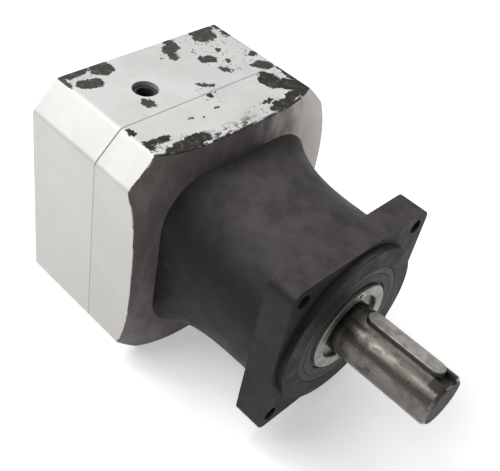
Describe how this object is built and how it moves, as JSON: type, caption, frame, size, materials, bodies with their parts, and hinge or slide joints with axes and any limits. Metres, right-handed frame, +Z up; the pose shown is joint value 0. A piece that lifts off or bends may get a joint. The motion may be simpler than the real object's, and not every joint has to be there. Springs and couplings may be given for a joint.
{
  "type": "planetary gearbox",
  "caption": "Inline planetary gearbox with a square output flange, keyed steel shaft, dark cast housing flaring to a square machined rear body, and a motor adapter with clamping hub.",
  "frame": {"origin": "on the gearbox axis, in the mounting face of the output flange", "axes": "+X along the gearbox axis, out of the output shaft; +Z up, towards the side with the clamping screw access hole; +Y completes the right-handed frame"},
  "size_m": [0.3165, 0.19, 0.19],
  "materials": {
    "painted_housing": "dark grey-brown satin paint on cast iron, bare machined metal on the rear flats",
    "machined_aluminium": "milled, scuffed, with dark paint residue on top",
    "black_steel": "black oxide",
    "rubber": "matt black",
    "seal": "dusty black",
    "cover": "dark turned ring",
    "gear_steel": "ground, lightly oiled",
    "turned_steel": "turned",
    "turned_aluminium": "turned",
    "bearing_steel": "polished",
    "shaft_steel": "ground, worn, with brown stains",
    "key_steel": "bright drawn, dulled",
    "nut_steel": "turned, dulled",
    "bronze": "bronze",
    "cage": "pressed sheet",
    "hub_steel": "turned, oiled",
    "spring_steel": "blued",
    "pin_steel": "ground"
  },
  "bodies": {
    "housing": {"housing": "painted_housing", "adapter_plate": "machined_aluminium", "adapter_screws": "black_steel", "adapter_o_ring": "rubber", "ring_gear": "gear_steel", "ring_gear_spacer": "turned_steel", "input_bearing_plate": "turned_aluminium", "input_bearing_outer_race": "bearing_steel", "input_seal": "rubber", "output_seal": "seal", "seal_cover": "cover", "front_bearing_outer_race": "bearing_steel", "rear_bearing_outer_race": "bearing_steel"},
    "output": {"output_shaft": "shaft_steel", "shaft_key": "key_steel", "lock_nut": "nut_steel", "bearing_spacer": "turned_steel", "front_bearing_inner_race": "bearing_steel", "rear_bearing_inner_race": "bearing_steel", "thrust_washers": "bronze", "planet_pin_1": "pin_steel", "planet_pin_2": "pin_steel", "planet_pin_3": "pin_steel"},
    "front_rollers": {"front_bearing_rollers": "bearing_steel", "front_bearing_cage": "cage"},
    "rear_rollers": {"rear_bearing_rollers": "bearing_steel", "rear_bearing_cage": "cage"},
    "input": {"input_shaft": "hub_steel", "sun_gear": "gear_steel", "clamp_screw": "black_steel", "input_circlip": "spring_steel", "input_bearing_inner_race": "bearing_steel"},
    "input_balls": {"input_bearing_balls": "bearing_steel", "input_bearing_cage": "cage"},
    "planet_1": {"planet_gear_1": "gear_steel"},
    "needles_1": {"needle_rollers_1": "bearing_steel"},
    "planet_2": {"planet_gear_2": "gear_steel"},
    "needles_2": {"needle_rollers_2": "bearing_steel"},
    "planet_3": {"planet_gear_3": "gear_steel"},
    "needles_3": {"needle_rollers_3": "bearing_steel"}
  },
  "joints": [
    {"name": "output_spin", "type": "hinge", "parent": "housing", "child": "output", "pos_m": [0, 0, 0], "axis": [1, 0, 0], "continuous": true},
    {"name": "input_spin", "type": "hinge", "parent": "housing", "child": "input", "pos_m": [0, 0, 0], "axis": [1, 0, 0], "continuous": true},
    {"name": "front_rollers_spin", "type": "hinge", "parent": "housing", "child": "front_rollers", "pos_m": [0, 0, 0], "axis": [1, 0, 0], "continuous": true},
    {"name": "rear_rollers_spin", "type": "hinge", "parent": "housing", "child": "rear_rollers", "pos_m": [0, 0, 0], "axis": [1, 0, 0], "continuous": true},
    {"name": "input_balls_spin", "type": "hinge", "parent": "housing", "child": "input_balls", "pos_m": [0, 0, 0], "axis": [1, 0, 0], "continuous": true},
    {"name": "planet_1_spin", "type": "hinge", "parent": "output", "child": "planet_1", "pos_m": [-0.088, 0, 0.03375], "axis": [1, 0, 0], "continuous": true},
    {"name": "needles_1_spin", "type": "hinge", "parent": "output", "child": "needles_1", "pos_m": [-0.088, 0, 0.03375], "axis": [1, 0, 0], "continuous": true},
    {"name": "planet_2_spin", "type": "hinge", "parent": "output", "child": "planet_2", "pos_m": [-0.088, -0.02923, -0.01688], "axis": [1, 0, 0], "continuous": true},
    {"name": "needles_2_spin", "type": "hinge", "parent": "output", "child": "needles_2", "pos_m": [-0.088, -0.02923, -0.01688], "axis": [1, 0, 0], "continuous": true},
    {"name": "planet_3_spin", "type": "hinge", "parent": "output", "child": "planet_3", "pos_m": [-0.088, 0.02923, -0.01688], "axis": [1, 0, 0], "continuous": true},
    {"name": "needles_3_spin", "type": "hinge", "parent": "output", "child": "needles_3", "pos_m": [-0.088, 0.02923, -0.01688], "axis": [1, 0, 0], "continuous": true}
  ],
  "couplings": [
    {"joint": "input_spin", "follows": "output_spin", "ratio": 5},
    {"joint": "front_rollers_spin", "follows": "output_spin", "ratio": 0.4485},
    {"joint": "rear_rollers_spin", "follows": "output_spin", "ratio": 0.4485},
    {"joint": "input_balls_spin", "follows": "output_spin", "ratio": 2.0931},
    {"joint": "planet_1_spin", "follows": "output_spin", "ratio": -2.6667},
    {"joint": "needles_1_spin", "follows": "output_spin", "ratio": -1.5758},
    {"joint": "planet_2_spin", "follows": "output_spin", "ratio": -2.6667},
    {"joint": "needles_2_spin", "follows": "output_spin", "ratio": -1.5758},
    {"joint": "planet_3_spin", "follows": "output_spin", "ratio": -2.6667},
    {"joint": "needles_3_spin", "follows": "output_spin", "ratio": -1.5758}
  ]
}
